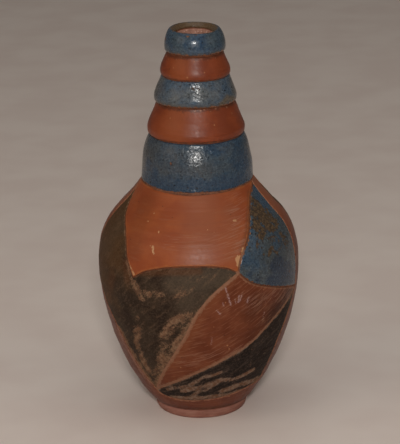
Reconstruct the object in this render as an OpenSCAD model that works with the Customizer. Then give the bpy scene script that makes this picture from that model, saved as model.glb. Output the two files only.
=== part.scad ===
// Ring-necked pottery bottle vase: a hollow thrown clay body, and the glaze and slip
// coats that lie on it, each as its own thin solid.
// The origin is the middle of the foot, where the vase stands. +Z runs up the axis, and
// the front of the decoration faces -Y. The back carries the same pattern half a turn on.

/* [Body] */
// Overall height of the vase
height = 250; // [248:0.5:254]
// Radius at the widest part of the belly
belly_r = 64.1; // [62:0.1:66]
// Height of the widest part of the belly
belly_z = 97.6; // [94:0.1:101]
// Radius where the belly starts, just above the foot
belly_start_r = 30.8; // [30:0.1:32]
// Radius of the shoulder where its curve turns inwards to the neck
shoulder_r = 47.1; // [46:0.1:48]
// Height of that turn in the shoulder
shoulder_z = 139; // [137:0.5:140]

/* [Foot] */
// Radius of the foot at its top edge
foot_r = 29.7; // [29:0.1:30]
// Height of the bare foot band
foot_h = 5.2; // [4.5:0.1:5.4]
// Inner radius of the ring that the vase stands on
foot_ring_r = 21.5; // [18:0.5:24]
// Depth of the turned recess under the foot
foot_recess = 2; // [1:0.5:3]

/* [Neck] */
// Radius at the foot of the collar
collar_r = 35.2; // [34.8:0.1:36]
// Height of the foot of the collar
collar_z = 154.2; // [153.5:0.1:155.5]
// Radius of the groove over the collar
collar_top_r = 29.4; // [29:0.1:29.8]
// Height of the groove over the collar
collar_top_z = 183.8; // [183:0.1:184.6]
// Radius of the lower ring at its widest
lower_r = 30.7; // [30.4:0.1:31.5]
// Height of the widest part of the lower ring
lower_z = 187.4; // [187:0.1:188.5]
// Radius of the groove over the lower ring
lower_top_r = 24.3; // [23.9:0.1:24.6]
// Height of the groove over the lower ring
lower_top_z = 204.4; // [203.6:0.1:205]
// Radius of the middle ring at its widest
middle_r = 25.7; // [25.4:0.1:26.5]
// Height of the widest part of the middle ring
middle_z = 207.8; // [207.4:0.1:208.6]
// Radius of the groove over the middle ring
middle_top_r = 20.9; // [20.5:0.1:21.2]
// Height of the groove over the middle ring
middle_top_z = 220.9; // [220:0.1:221.4]
// Radius of the upper ring at its widest
upper_r = 21.9; // [21.7:0.1:22.6]
// Height of the widest part of the upper ring
upper_z = 224.1; // [223.7:0.1:225]
// Radius of the groove over the upper ring
upper_top_r = 17.7; // [17.3:0.1:18]
// Height of the groove over the upper ring
upper_top_z = 235.3; // [234.6:0.1:236]
// Radius of the rim at its widest
rim_r = 19; // [18.6:0.1:19.6]
// Height of the widest part of the rim
rim_z = 239.8; // [239:0.1:240.6]

/* [Mouth] */
// Radius of the round throat inside the mouth
throat_r = 11; // [10.2:0.1:11.6]
// Height of the bottom of the throat
throat_z = 231; // [228:0.5:234]
// Length of the throat
throat_len = 15; // [12:0.5:15]
// Radius of the crest of the lip
crest_r = 14.8; // [14.2:0.1:15.4]

/* [Coats] */
// Thickness of the glaze and slip coats
coat = 0.6; // [0.5:0.1:0.8]
// Width of the scored lines between the coats
score_w = 1.2; // [0.8:0.1:1.6]
// Thickness of the clay floor
floor_t = 8; // [7:0.5:10]

/* [Pattern] */
// Angle of the left edge of the pattern, from the front
left_deg = -86; // [-87:0.5:-84]
// Angle of the right edge of the pattern, from the front
right_deg = 73.5; // [71:0.5:76]

/* [Hidden] */
$fn = 96;
far = 90;

// A Bezier curve from a to d, without its first point.
function curve(a, b, c, d, n) = [for (i = [1:n]) let(t = i / n)
    (1 - t)^3 * a + 3 * t * (1 - t)^2 * b + 3 * t^2 * (1 - t) * c + t^3 * d];

// A neck ring from the groove under it, out to its widest part and up a straight flank.
function ring(low, wide, top) = let(h = top.y - wide.y) concat(
    curve(low, [wide.x, low.y + 0.2], [wide.x, low.y + 0.6 * (wide.y - low.y)], wide, 4),
    curve(wide, wide + [0, 0.15 * h], top + h * [0.16, -0.45], top, 6));

// The outline moved inwards, square to itself, by the thickness of a coat.
function normal_at(p, i) = let(d = p[min(i + 1, len(p) - 1)] - p[max(i - 1, 0)])
    [d.y, -d.x] / norm(d);
function inset(p, t) = [for (i = [0:len(p) - 1]) p[i] - t * normal_at(p, i)];

function reversed(p) = [for (i = [len(p) - 1:-1:0]) p[i]];
function slice(p, a, b) = [for (i = [a:b]) p[i]];

// A smooth line through the points of p, n steps to each stretch.
function smooth(p, n = 5) = let(m = len(p) - 1) concat([p[0]], [for (i = [0:m - 1])
    let(a = p[max(i - 1, 0)], b = p[i], c = p[i + 1], d = p[min(i + 2, m)])
    each curve(b, b + (c - a) / 6, c - (d - b) / 6, c, n)]);

// The finished outline of the vase, in stretches of [radius, height].
belly_start = [belly_start_r, foot_h + 1.6];
belly = [belly_r, belly_z];
turn = [shoulder_r, shoulder_z];
turn_dir = [-0.66, 0.75];
collar = [collar_r, collar_z];
collar_top = [collar_top_r, collar_top_z];
lower_top = [lower_top_r, lower_top_z];
middle_top = [middle_top_r, middle_top_z];
upper_top = [upper_top_r, upper_top_z];
rim = [rim_r, rim_z];
crest = [crest_r, height];
lip = [throat_r + 2.3, height - 1.2];
coat_end = [throat_r + 0.5, height - 3];

belly_line = concat([belly_start],
    curve(belly_start, belly_start + [15.4, 17], belly - [0, 34.4], belly, 12),
    curve(belly, belly + [0, 27.4], turn - 9.5 * turn_dir, turn, 9),
    curve(turn, turn + 7.5 * turn_dir, collar + [3.5, -5], collar, 4));
collar_line = curve(collar, collar + [0, 12], collar_top + [4.2, -6], collar_top, 7);
lower_line = ring(collar_top, [lower_r, lower_z], lower_top);
middle_line = ring(lower_top, [middle_r, middle_z], middle_top);
upper_line = ring(middle_top, [upper_r, upper_z], upper_top);
rim_line = concat(
    curve(upper_top, [rim.x, upper_top.y + 0.6], rim - [0, 1.6], rim, 4),
    curve(rim, rim + [0, 4.2], crest + [1.9, 0], crest, 6),
    curve(crest, crest - [0.7, 0], lip + [0.7, 0.7], lip, 4), [coat_end]);

outline = concat(belly_line, collar_line, lower_line, middle_line, upper_line, rim_line);
under = inset(outline, coat);

// Where each stretch ends in the outline.
i_belly = len(belly_line) - 1;
i_collar = i_belly + len(collar_line);
i_lower = i_collar + len(lower_line);
i_middle = i_lower + len(middle_line);
i_upper = i_middle + len(upper_line);
i_rim = i_upper + len(rim_line);

foot_line = [[foot_ring_r, 0], [foot_r - 2.4, 0], [foot_r - 1.3, 0.5], [foot_r - 0.7, 1.5],
    [foot_r, foot_h - 0.9], [foot_r - 0.1, foot_h], [foot_r - 1, foot_h + 0.7]];

// The hollow, from the throat down to the floor.
cavity_neck = [29.3, collar_z + 2];
cavity_belly = [belly_r - 6.3, belly_z];
floor_edge = [20, floor_t + 1];
throat = [throat_r, throat_z];
cavity_line = concat([throat + [0, throat_len], throat],
    curve(throat, throat + [3, -10], cavity_neck + [-1.8, 22], cavity_neck, 10),
    curve(cavity_neck, cavity_neck + [15.7, -19], cavity_belly + [0, 24], cavity_belly, 8),
    curve(cavity_belly, cavity_belly - [0, 36], floor_edge + [16, 3], floor_edge, 9),
    [[0, floor_t]]);

// The scored lines of the pattern, as [angle from the front, height].
corner = [22.5, 109.5];
tip = [-43, 21.8];
left_corner = [-40, 104.4];
right_corner = [right_deg, 86.2];
shoulder_left = [left_corner, [-46, 116], [-50, 124], [-57, 131], [-71, 139], [-86, 149]];
shoulder_foot = [left_corner, [-31, 110.1], [-16, 114.2], [3, 115], [15, 113.3], corner];
shoulder_right = [corner, [25, 118], [33, 128.5], [43, 139.5], [57, 148.5], [74, 153]];
leaf_top = [corner, [8, 97.8], [-2, 84], [-10, 66.6], [-21, 48.5], [-34, 32], tip];
leaf_foot = [right_corner, [62, 79.3], [48, 71.2], [32, 59], [10, 47.5], [-14, 35], tip];
blue_foot = [corner, [29, 102.7], [37, 98.3], [54, 92], right_corner];
low_foot = [tip, [-36, 18.4], [-18, 16.6], [4, 17.2], [22, 18.6], [40, 21.4], [61, 23.5]];
low_right = [[61, 23.5], [60, 40], [62, 56], [67, 70], right_corner];
dark_left = [[left_deg, 100], [-78, 86], [-68, 73.5], [-59.5, 60], [-55, 46], [-48.5, 33], tip];

// The same lines seen from the front, as [x, height].
heights = [for (p = belly_line) [p.y, p.x]];
function seen(line) = [for (p = smooth(line)) [lookup(p.y, heights) * sin(p.x), p.y]];

module turned(points) rotate_extrude() polygon(points);

// The coat over one stretch of the outline.
module band(a, b) turned(concat(slice(outline, a, b), reversed(slice(under, a, b))));

// A solid that reaches the front of the vase only inside the outline given.
module stencil(points) translate([0, 10, 0]) rotate([90, 0, 0])
    linear_extrude(far + 10) polygon(points);

// Everything in front of the pattern's left and right edges, less a margin in degrees.
module field(margin) let(a = left_deg + margin, b = right_deg - margin)
    translate([0, 0, -1]) linear_extrude(height) polygon([[0, 0],
        2 * far * [sin(a), -cos(a)], [0, -2 * far], 2 * far * [sin(b), -cos(b)]]);

// The line drawn on past both of its ends by the distance d.
function drawn_on(p, d) = let(m = len(p) - 1) concat(
    [p[0] + d * (p[0] - p[1]) / norm(p[0] - p[1])], p,
    [p[m] + d * (p[m] - p[m - 1]) / norm(p[m] - p[m - 1])]);

// A slot along one scored line.
module score(line) let(p = drawn_on(seen(line), 2 * score_w))
    stencil(concat(inset(p, score_w / 2), reversed(inset(p, -score_w / 2))));

edge_margin = score_w / 2 / belly_r * 180 / PI;

// One panel: the belly coat inside an outline, clear of the scored lines round it.
module panel(points, lines) difference() {
    intersection() {
        band(0, i_belly);
        stencil(points);
        field(edge_margin);
    }
    for (line = lines) score(line);
}

module shoulder_red_panel() panel(
    concat(reversed(seen(shoulder_left)), seen(shoulder_foot), seen(shoulder_right),
        [[far, collar_z + 2], [-far, collar_z + 2]]),
    [shoulder_left, shoulder_foot, shoulder_right]);

module blue_panel() panel(
    concat(reversed(seen(shoulder_right)), seen(blue_foot),
        [[far, right_corner.y], [far, collar_z - 1]]),
    [shoulder_right, blue_foot]);

module dark_leaf_panel() panel(
    concat(reversed(seen(shoulder_left)), seen(shoulder_foot), seen(leaf_top),
        reversed(seen(dark_left)), [[-far, 100], [-far, 149]]),
    [shoulder_left, shoulder_foot, leaf_top, dark_left]);

module red_leaf_panel() panel(
    concat(reversed(seen(blue_foot)), seen(leaf_top), reversed(seen(leaf_foot))),
    [blue_foot, leaf_top, leaf_foot]);

module low_dark_panel() panel(
    concat(seen(leaf_foot), seen(low_foot), seen(low_right)),
    [leaf_foot, low_foot, low_right]);

// The part of the front that the five panels share, with the scored line round it.
function outer_side(line) = inset(seen(line), -score_w / 2);
module panel_field() intersection() {
    stencil(concat([[-far, 160], [-far, 100]], outer_side(dark_left), outer_side(low_foot),
        outer_side(low_right), [[far, right_corner.y], [far, 160]]));
    field(-edge_margin);
}

module half_turn() rotate([0, 0, 180]) children();

module clay_body() color("sienna") turned(concat(
    [[0, foot_recess + 0.3], [foot_ring_r - 1, foot_recess]], foot_line, under, cavity_line));

module rim_glaze() color("slategray") band(i_upper, i_rim);
module upper_red_ring_slip() color("brown") band(i_middle, i_upper);
module middle_blue_ring_glaze() color("lightslategray") band(i_lower, i_middle);
module lower_red_ring_slip() color("brown") band(i_collar, i_lower);
module collar_blue_glaze() color("slategray") band(i_belly, i_collar);

module belly_red_ground_slip() color("chocolate") difference() {
    band(0, i_belly);
    for (side = [0, 180]) rotate([0, 0, side]) panel_field();
}

module front_shoulder_red_slip() color("peru") shoulder_red_panel();
module front_blue_panel_glaze() color("steelblue") blue_panel();
module front_dark_leaf_slip() color("dimgray") dark_leaf_panel();
module front_red_leaf_slip() color("brown") red_leaf_panel();
module front_low_dark_slip() color("dimgray") low_dark_panel();

module back_shoulder_red_slip() color("peru") half_turn() shoulder_red_panel();
module back_blue_panel_glaze() color("steelblue") half_turn() blue_panel();
module back_dark_leaf_slip() color("dimgray") half_turn() dark_leaf_panel();
module back_red_leaf_slip() color("brown") half_turn() red_leaf_panel();
module back_low_dark_slip() color("dimgray") half_turn() low_dark_panel();

clay_body();
rim_glaze();
upper_red_ring_slip();
middle_blue_ring_glaze();
lower_red_ring_slip();
collar_blue_glaze();
belly_red_ground_slip();
front_shoulder_red_slip();
front_blue_panel_glaze();
front_dark_leaf_slip();
front_red_leaf_slip();
front_low_dark_slip();
back_shoulder_red_slip();
back_blue_panel_glaze();
back_dark_leaf_slip();
back_red_leaf_slip();
back_low_dark_slip();
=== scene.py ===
"""Ring-necked pottery bottle vase: the finished look of each coat of slip and glaze.

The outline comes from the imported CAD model: rays cast at its solids measure half a section
all the way round. Every piece is then built on that outline, in millimetres, from an angle
round the axis (0 is the front, and it grows to the right) and a length along the outline,
which starts at the outer edge of the foot and runs up the outside and down the inside.
"""
import math

import bmesh
import bpy
import numpy as np
from mathutils import Matrix, Vector
from mathutils.bvhtree import BVHTree
from mathutils.geometry import delaunay_2d_cdt
from mathutils.kdtree import KDTree


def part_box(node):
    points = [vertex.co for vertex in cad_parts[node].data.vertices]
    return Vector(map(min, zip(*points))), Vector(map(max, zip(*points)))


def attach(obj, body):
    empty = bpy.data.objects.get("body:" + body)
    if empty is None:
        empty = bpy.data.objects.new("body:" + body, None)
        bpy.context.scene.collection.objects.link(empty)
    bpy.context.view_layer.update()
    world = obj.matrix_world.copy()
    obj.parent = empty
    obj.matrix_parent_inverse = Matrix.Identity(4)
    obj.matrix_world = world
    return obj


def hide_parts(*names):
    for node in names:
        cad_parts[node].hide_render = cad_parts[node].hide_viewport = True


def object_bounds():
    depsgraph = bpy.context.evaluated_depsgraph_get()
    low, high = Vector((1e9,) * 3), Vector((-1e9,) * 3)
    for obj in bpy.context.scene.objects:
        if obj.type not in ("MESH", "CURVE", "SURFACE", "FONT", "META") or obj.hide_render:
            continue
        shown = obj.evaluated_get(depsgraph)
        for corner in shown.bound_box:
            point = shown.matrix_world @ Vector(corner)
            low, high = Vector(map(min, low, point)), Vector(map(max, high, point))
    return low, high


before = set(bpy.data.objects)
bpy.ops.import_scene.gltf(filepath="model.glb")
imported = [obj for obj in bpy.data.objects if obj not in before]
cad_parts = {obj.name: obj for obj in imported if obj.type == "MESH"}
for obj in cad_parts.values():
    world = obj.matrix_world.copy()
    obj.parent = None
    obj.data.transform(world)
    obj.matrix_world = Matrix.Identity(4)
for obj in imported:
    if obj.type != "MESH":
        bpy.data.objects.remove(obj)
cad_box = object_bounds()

MM = 0.001
TURN = 2 * math.pi
rng = np.random.default_rng(12)

# Heights in mm, each the lift of a surface off the CAD outline.
CLAY = -0.5        # the clay under the coats
WORN_LINE = 0.28   # how much shallower a scored line is where it was rubbed pale
BURIED = -0.64     # the undersides and edges of the coats, just inside the clay
SLIP = -0.06       # the face of a slip coat
GLAZE = 0.04       # the face of a glaze coat

GAP = 0.34         # half the width of a scored line
RING_GAP = 0.2     # half the width of the clay line between two neck rings
MOUTH_DIP = 0.6    # how far the mouth dips at the front, and rises at the back

PLAIN_STRIP = 83   # degrees round to the plain strip of belly, where the outline is measured
RING_AROUND = 300  # points once round a neck ring
CLAY_AROUND = 250  # points once round the clay body
# Warm light is painted onto the red rings towards this side, as a warmer, oranger tone.
WARM_LIGHT_SIDE = -0.5   # radians round to where the red rings are warmest
RING_EDGE = (0, 0.07, 0.18, 0.35, 0.6)          # rows of points in from a ring's edges
PANEL_EDGE = (0.08, 0.2, 0.38, 0.62, 0.95)      # rows of points in from a panel's edges


# ---------------- the measured outline
def all_solids():
    """Every CAD node's mesh as one tree that rays can be cast at."""
    points, faces = [], []
    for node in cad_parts.values():
        first = len(points)
        points += [v.co.copy() for v in node.data.vertices]
        faces += [[first + i for i in p.vertices] for p in node.data.polygons]
    return BVHTree.FromPolygons(points, faces)


def measured_outline():
    """[radius, height] round half a section, in mm, and how many points lie underneath."""
    solids = all_solids()
    between = math.radians(PLAIN_STRIP)
    out = Vector((math.sin(between), -math.cos(between), 0))
    up = Vector((0, 0, 1))
    crest = cad_box[1][2]
    far, near, belly, low = 0.2, 0.02, 0.1, 0.03    # where rays start, in metres
    coarse, medium, fine = 0.5, 0.25, 0.2           # steps between rays, in mm

    def probe(start, way):
        hit = solids.ray_cast(start, way)[0]
        return hit.xy.length / MM, hit.z / MM

    def outside(z):
        return probe(out * far + up * z, -out)

    def inside(z):
        return probe(up * z, out)

    foot, lip = 0.3 * MM, crest - 1.2 * MM
    foot_r = outside(foot)[0]
    floor_z = probe(up * belly, -up)[1]
    cavity_foot = (floor_z + 1.2) * MM
    wall_end = inside(cavity_foot)[0]
    under = [probe(out * r * MM - up * near, up) for r in np.arange(0.4, foot_r - 0.4, coarse)]
    side = [outside(z) for z in np.arange(foot, lip, medium * MM)]
    top = [probe(out * r * MM + up * (crest + near), -up)
           for r in np.arange(side[-1][0] - fine, inside(lip)[0] + 0.1, -fine)]
    hollow = [inside(z) for z in np.arange(lip, cavity_foot, -coarse * MM)]
    floor = [probe(out * r * MM + up * low, -up)
             for r in np.arange(wall_end - coarse, 0.3, -coarse)]
    points = [(0, under[0][1])] + under + side + top + hollow + floor + [(0, floor[-1][1])]
    return np.array(points), len(under) + 1


def running(steps):
    """The length reached after each step, from 0."""
    return np.concatenate([[0], np.cumsum(steps)])


def along(to, at, line):
    """What a line's two columns are at lengths along it."""
    return np.stack([np.interp(to, at, line[:, k]) for k in (0, 1)], axis=1)


def height_of(node, end):
    """The lowest (0) or highest (1) height of a CAD node, in mm."""
    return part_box(node)[end].z / MM


rough, n_under = measured_outline()
rough_at = running(np.linalg.norm(np.diff(rough, axis=0), axis=1))
rough_at -= rough_at[n_under]

BELLY_LOW = height_of("belly_red_ground_slip", 0)
COLLAR_LOW = height_of("collar_blue_glaze", 0)
LOWER_LOW = height_of("lower_red_ring_slip", 0)
MIDDLE_LOW = height_of("middle_blue_ring_glaze", 0)
UPPER_LOW = height_of("upper_red_ring_slip", 0)
RIM_LOW = height_of("rim_glaze", 0)
CREST = height_of("rim_glaze", 1)


def smoothed_outline():
    """The outline at even steps, with the CAD's short straight stretches run into curves."""
    step = 0.3
    at = np.arange(rough_at[0], rough_at[-1], step)
    even = along(at, rough_at, rough)
    crest_at = at[np.argmax(even[:, 1])]
    outside, deep_inside = (at > 0) & (at < crest_at), at > crest_at + 8
    # How far the smoothing reaches at each height: least where the outline has corners.
    heights, reaches = zip((0, 0.3), (BELLY_LOW, 0.4), (20, 3.2), (140, 3.2), (COLLAR_LOW, 0.9),
                           (COLLAR_LOW + 6, 1.6), (LOWER_LOW - 5, 1.6), (LOWER_LOW, 0.55))
    reach = np.where(outside, np.interp(even[:, 1], heights, reaches), 0.6)
    reach = np.where(deep_inside, 1.8, reach)
    gap = at[:, None] - at[None, :]
    weight = np.exp(-0.5 * (gap / reach[:, None]) ** 2)
    smooth_points = (weight @ even) / weight.sum(axis=1, keepdims=True)
    smooth_points[[0, -1], 0] = 0
    return at, smooth_points, crest_at


path_at, path, CREST_AT = smoothed_outline()
slope = np.gradient(path, path_at, axis=0)
slope /= np.linalg.norm(slope, axis=1, keepdims=True)
path_out = np.stack([slope[:, 1], -slope[:, 0]], axis=1)

outer = (path_at > 0) & (path_at < CREST_AT)
outer_at, outer_z = path_at[outer], np.maximum.accumulate(path[outer, 1])
inner = (path_at > CREST_AT) & (path_at < CREST_AT + 20)
inner_at, inner_z = path_at[inner][::-1], np.maximum.accumulate(path[inner, 1][::-1])


def at_height(z):
    """The length along the outside of the vase at a height."""
    return np.interp(z, outer_z, outer_at)


def radius_at(at):
    return np.interp(at, path_at, path[:, 0])


def glaze_end():
    """The height inside the mouth that the rim's glaze runs down to, in mm."""
    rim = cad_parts["rim_glaze"].data
    points = np.array([v.co for v in rim.vertices]) / MM
    inside = np.hypot(points[:, 0], points[:, 1]) < radius_at(CREST_AT) - 1
    return points[inside, 2].min()


LIP_END = np.interp(glaze_end(), inner_z, inner_at)
FOOT_EDGE = at_height(BELLY_LOW)
BELLY_END = at_height(COLLAR_LOW)


# ---------------- the thrown surface
def waves(count, shortest, longest, turns, height):
    """Random ripples as [length, turns round the vase, phase, height]."""
    length = rng.uniform(shortest, longest, count)
    lobes = rng.integers(-turns, turns + 1, count)
    return np.stack([length, lobes, rng.uniform(0, TURN, count), height * length / longest], 1)


THROWING = waves(12, 2.4, 6.5, 1, 0.016)        # the lines left by throwing
SHAPE = np.concatenate([
    waves(5, 11, 24, 2, 0.06),          # the potter's fingers
    waves(4, 50, 110, 3, 0.12)])        # the body slightly out of round


def ripple(angle, at, ripples):
    total = np.zeros(np.broadcast(angle, at).shape)
    for length, lobes, phase, height in ripples:
        total += height * np.sin(TURN * at / length + lobes * angle + phase)
    return total


def skin(angle, at, lift, throwing=1.0):
    """Points on the vase, in metres, at a lift in mm off its outline.

    Glaze fills the throwing lines, so less of them shows in it."""
    angle, at, lift = np.broadcast_arrays(angle, at, lift)
    r, z = along(at, path_at, path).T
    out_r, out_z = along(at, path_at, path_out).T
    calm = np.clip((at - 1) / 8, 0, 1) * np.clip(r / 12, 0, 1)      # at the foot and the axis
    lift = lift + calm * (ripple(angle, at, SHAPE) + throwing * ripple(angle, at, THROWING))
    r = np.maximum(r + out_r * lift, 0)
    z = z + out_z * lift
    z = z - MOUTH_DIP * np.cos(angle) * np.clip((z - RIM_LOW) / (CREST - RIM_LOW), 0, 1)
    return np.stack([r * np.sin(angle), -r * np.cos(angle), z], axis=-1) * MM


def slip_face(edge):
    """The lift of a slip coat at a distance from its edge: brushed on, thin at the edge."""
    thin = 0.16
    return BURIED + (SLIP - BURIED) * (1 - np.exp(-edge / thin))


def glaze_face(edge):
    """The same for glaze, which melts into a fat round edge."""
    rounding, bead, bead_at, bead_width = 0.34, 0.11, 1.1, 0.7
    body = BURIED + (GLAZE - BURIED) * (1 - np.exp(-(edge / rounding) ** 1.4))
    return body + bead * np.exp(-((edge - bead_at) / bead_width) ** 2)


# Each kind of coat: its face, its material slot, and how much of the throwing shows in it.
RED = (slip_face, "red_slip", 1.0)
DARK = (slip_face, "dark_slip", 1.0)
BLUE = (glaze_face, "blue_glaze", 0.3)


# ---------------- meshes
def add_object(name, data):
    """A new object in the scene."""
    made = bpy.data.objects.new(name, data)
    bpy.context.scene.collection.objects.link(made)
    return made


def make_piece(node, points, faces, attributes, material):
    """One Blender piece that stands for a CAD node. Points that coincide are joined."""
    name = node + "_look"
    mesh = bpy.data.meshes.new(name)
    mesh.from_pydata(points.tolist(), [], faces)
    for key, values in attributes.items():
        flat = np.asarray(values, np.float32).ravel()
        kind = "FLOAT" if len(flat) == len(points) else "FLOAT_VECTOR"
        layer = mesh.attributes.new(key, kind, "POINT")
        layer.data.foreach_set("value" if kind == "FLOAT" else "vector", flat)
    work = bmesh.new()
    work.from_mesh(mesh)
    bmesh.ops.remove_doubles(work, verts=work.verts, dist=1e-6)
    work.to_mesh(mesh)
    work.free()
    mesh.shade_smooth()
    mesh.materials.append(material)
    piece = add_object(name, mesh)
    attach(piece, "root")
    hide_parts(node)


def grid_faces(rows, around, closed):
    """Quads over rows of points, each row once round the vase."""
    faces = []
    for j in range(rows if closed else rows - 1):
        low, high = j * around, (j + 1) % rows * around
        for i in range(around):
            k = (i + 1) % around
            faces.append((low + i, low + k, high + k, high + i))
    return faces


def strokes_at(strokes, angle, at):
    """How strongly painted marks cover each point: from 0 up to the mark's own strength.

    A stroke is (line, half width in mm, strength). Its line is points of [degrees, height],
    or a line of the pattern."""
    cover = np.zeros(len(angle))
    r = radius_at(at)
    for line, width, strength in strokes:
        if isinstance(line, np.ndarray):
            ends = line[::2]
        else:
            ends = [(math.radians(a), float(at_height(z))) for a, z in line]
        if len(ends) == 1:
            ends = ends * 2
        for (a0, s0), (a1, s1) in zip(ends, ends[1:]):
            x, y = r * (angle - a0), at - s0
            dx, dy = r * (a1 - a0), s1 - s0
            t = np.clip((x * dx + y * dy) / np.maximum(dx * dx + dy * dy, 1e-9), 0, 1)
            far = np.hypot(x - t * dx, y - t * dy)
            cover = np.maximum(cover, strength * np.clip(1.5 - far / width, 0, 1))
    return cover


def marks_on(angle, at, **marks):
    """The kinds of mark: rubbed to the clay, scuffed pale, softly tinted, and darkened. Most shade
    marks are painted shade, and some tints are painted sheen and painted warm light; on the dark
    leaf the shade marks are a lighter brown tint.
    """
    return {kind: strokes_at(marks.get(kind, ()), angle, at)
            for kind in ("wear", "chalk", "bloom", "shade")}


def lay_of(angle, at, lean):
    """Coordinates in metres along and across the direction that a coat was brushed in.

    The brush climbs a little as it comes round to the right."""
    x = radius_at(at) * angle
    y = at - 0.2 * np.maximum(x - 6, 0)
    c, s = math.cos(lean), math.sin(lean)
    return np.stack([x * c + y * s, y * c - x * s, np.zeros(len(x))], axis=1) * MM


def wobble(angle, seed):
    """A hand-held edge: how far it strays at each angle, up to about 1."""
    local = np.random.default_rng(seed)
    total = np.zeros(len(angle))
    for lobes in (1, 2, 3, 5, 7, 10, 14, 19):
        total += np.sin(lobes * angle + local.uniform(0, TURN)) / lobes ** 0.6
    return total * 0.55


def ring_coat(node, low, high, kind, material, seed, stray=(0.1, 0.1), **marks):
    """A coat once round the vase, between two lengths along the outline.

    Its low and high edges stray by about as many mm as stray says."""
    face, slot, throwing = kind
    angle = np.linspace(0, TURN, RING_AROUND, endpoint=False)
    start = low + RING_GAP + stray[0] * wobble(angle, seed)
    end = high - RING_GAP + stray[1] * wobble(angle, seed + 50)
    rows = [start + d for d in RING_EDGE]
    rows += [start + 1 + t * (end - start - 2)
             for t in np.linspace(0, 1, max(3, int((high - low - 2) / 0.5)))]
    rows = np.array(rows + [end - d for d in reversed(RING_EDGE)])
    under = start + np.array([[0.75], [0.5], [0.25]]) * (end - start)   # back down, underneath
    buried = np.zeros(under.size)
    at = np.append(rows, under)
    below, above = np.append(rows - start, buried), np.append(end - rows, buried)
    lift = np.append(face(np.minimum(rows - start, end - rows)), buried + BURIED)
    count = len(rows) + len(under)
    whole = np.tile(angle, count)
    points = skin(whole, at, lift, throwing)
    attributes = {"edge": np.minimum(below, above), "below": below, "above": above,
                  "inward": np.clip((at - CREST_AT + 1.5) / 3, 0, 1)}
    front = (whole + math.pi) % TURN - math.pi
    attributes["across"] = np.abs(front - WARM_LIGHT_SIDE)
    attributes.update(marks_on(front, at, **marks))
    make_piece(node, points, grid_faces(count, RING_AROUND, True), attributes, material)


# ---------------- panels
def smooth(points):
    """A smooth line through points of [degrees, height], as [angle, length along]."""
    steps = 9
    p = np.array(points, float)
    p = np.vstack([2 * p[0] - p[1], p, 2 * p[-1] - p[-2]])
    line = []
    for a, b, c, d in zip(p, p[1:], p[2:], p[3:]):
        for t in np.arange(steps) / steps:
            line.append(0.5 * (2 * b + (c - a) * t + (2 * a - 5 * b + 4 * c - d) * t ** 2
                               + (3 * b - a - 3 * c + d) * t ** 3))
    line = np.array(line + [p[-2]])
    return np.stack([np.radians(line[:, 0]), at_height(line[:, 1])], axis=1)


def even_steps(line, step):
    """The same line with points at even steps, in mm."""
    r = radius_at(line[:, 1])
    middle = (r[1:] + r[:-1]) / 2
    at = running(np.hypot(np.diff(line[:, 0]) * middle, np.diff(line[:, 1])))
    count = max(2, int(round(at[-1] / step)) + 1)
    return along(np.linspace(0, at[-1], count), at, line)


def tree_of(points):
    tree = KDTree(len(points))
    for i, p in enumerate(points):
        tree.insert(p, i)
    tree.balance()
    return tree


def distance(tree, line):
    """How far points of [angle, length along] are from the tree's points, in mm."""
    return np.array([tree.find(p)[2] for p in skin(line[:, 0], line[:, 1], 0)]) / MM


def within(points, loop):
    """Which points lie inside a closed loop."""
    inside = np.zeros(len(points), bool)
    x, y = points[:, 0], points[:, 1]
    for (x0, y0), (x1, y1) in zip(loop, np.roll(loop, -1, axis=0)):
        if y0 == y1:
            continue
        crosses = (y0 > y) != (y1 > y)
        inside ^= crosses & (x < x0 + (x1 - x0) * (y - y0) / (y1 - y0))
    return inside


def spaced(line, least):
    """Which points of the line to keep, so that none is closer than least to the last kept."""
    spots = skin(line[:, 0], line[:, 1], 0) / MM
    kept = []
    for i, spot in enumerate(spots):
        if not kept or np.linalg.norm(spot - spots[kept[-1]]) >= least:
            kept.append(i)
    while len(kept) > 3 and np.linalg.norm(spots[kept[-1]] - spots[kept[0]]) < least:
        kept.pop()
    return kept


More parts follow.
